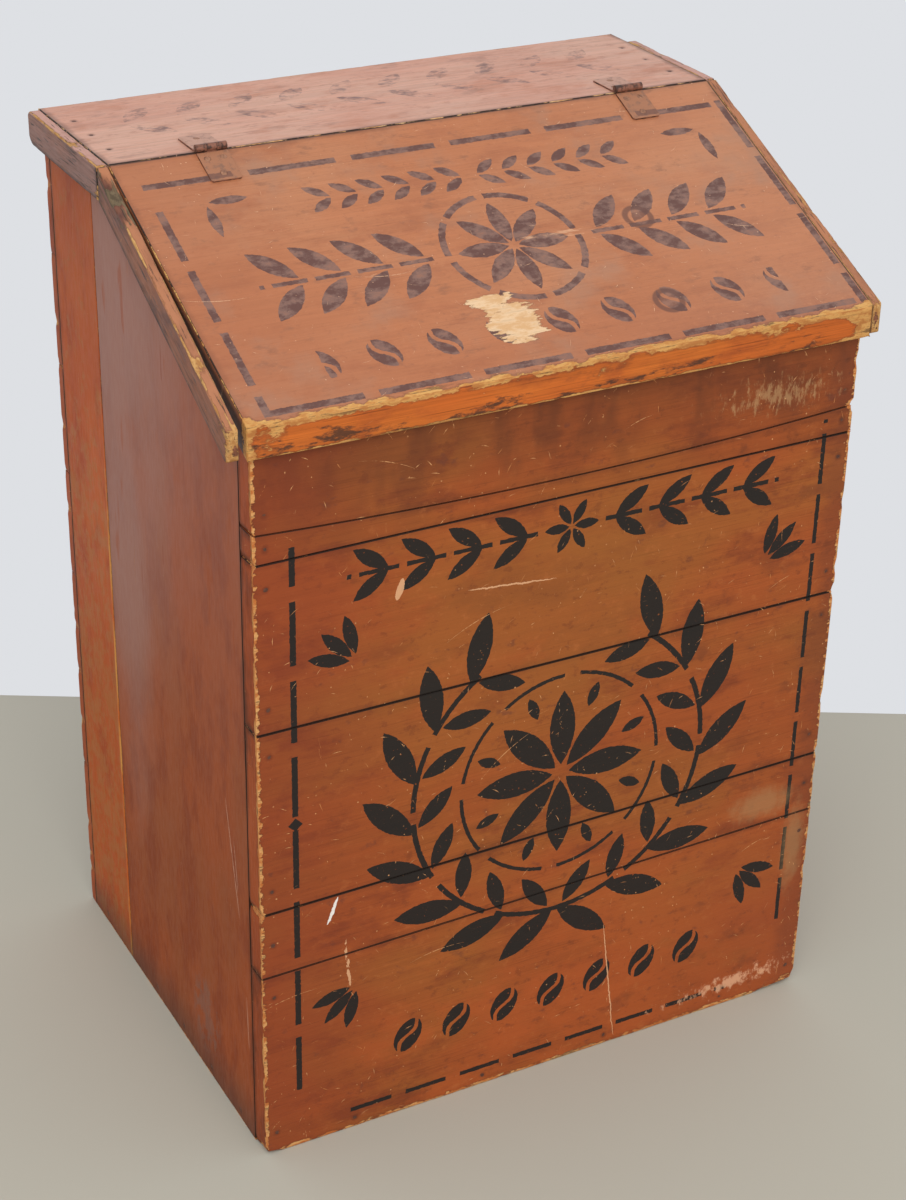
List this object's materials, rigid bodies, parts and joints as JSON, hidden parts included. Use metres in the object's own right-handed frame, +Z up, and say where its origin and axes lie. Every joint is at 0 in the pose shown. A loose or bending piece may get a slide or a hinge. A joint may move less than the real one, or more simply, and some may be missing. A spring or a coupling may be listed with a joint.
{
  "type": "store bin",
  "caption": "Floor-standing store bin of nailed painted boards, with a sloping lift-up lid hinged at a narrow fixed top board.",
  "frame": {"origin": "on the floor, at the middle of the case's width and depth (the underside of the middle floor board)", "axes": "+Z up, +X to the right as seen from the front, +Y to the back; the lid slopes down towards -Y"},
  "size_m": [0.5947, 0.439, 0.8296],
  "materials": {
    "front_paint": "worn orange-red paint over pine, rubbed satin, with black stencilled ornament",
    "side_paint": "worn orange-red paint over pine, darkened and polished by handling",
    "lid_paint": "faded orange-red paint over pine, scratched, with a brown stencilled border",
    "top_paint": "faded pinkish brown-red paint over pine",
    "strip_paint": "paint rubbed through to yellow pine on the arrises",
    "back_wood": "thin red-brown stain on rough pine",
    "bare_wood": "bare aged pine",
    "hinge_iron": "rusty coppered steel, partly painted over",
    "pin_iron": "dark rusty iron",
    "screw_iron": "dark rusty iron",
    "nail_iron": "black oxidised iron"
  },
  "bodies": {
    "case": {"back_board_1": "back_wood", "back_board_2": "back_wood", "back_board_3": "back_wood", "back_board_4": "back_wood", "back_board_5": "back_wood", "back_board_6": "back_wood", "back_board_7": "back_wood", "back_board_8": "back_wood", "back_nails": "nail_iron", "cleat_nails": "nail_iron", "floor_board_1": "bare_wood", "floor_board_2": "bare_wood", "floor_board_3": "bare_wood", "front_board_1": "front_paint", "front_board_2": "front_paint", "front_board_3": "front_paint", "front_board_4": "front_paint", "front_board_5": "front_paint", "front_nails": "nail_iron", "front_split_strip": "front_paint", "hinge_leaf_fixed_left": "hinge_iron", "hinge_leaf_fixed_right": "hinge_iron", "hinge_pin_left": "pin_iron", "hinge_pin_right": "pin_iron", "hinge_screws_top": "screw_iron", "side_board_left_back": "side_paint", "side_board_left_front": "side_paint", "side_board_right_back": "side_paint", "side_board_right_front": "side_paint", "side_nails": "nail_iron", "top_board": "top_paint", "top_cleat_left": "bare_wood", "top_cleat_right": "bare_wood", "top_end_strip_left": "strip_paint", "top_end_strip_right": "strip_paint", "top_nails": "nail_iron", "top_strip_nails": "nail_iron"},
    "lid": {"hinge_leaf_moving_left": "hinge_iron", "hinge_leaf_moving_right": "hinge_iron", "hinge_screws_lid": "screw_iron", "lid_board": "lid_paint", "lid_end_strip_left": "strip_paint", "lid_end_strip_right": "strip_paint", "lid_strip_nails": "nail_iron"}
  },
  "joints": [
    {"name": "lid_hinge", "type": "hinge", "parent": "case", "child": "lid", "pos_m": [0, 0.0453, 0.8263], "axis": [-1, 0, 0], "range_deg": [0, 206]}
  ]
}
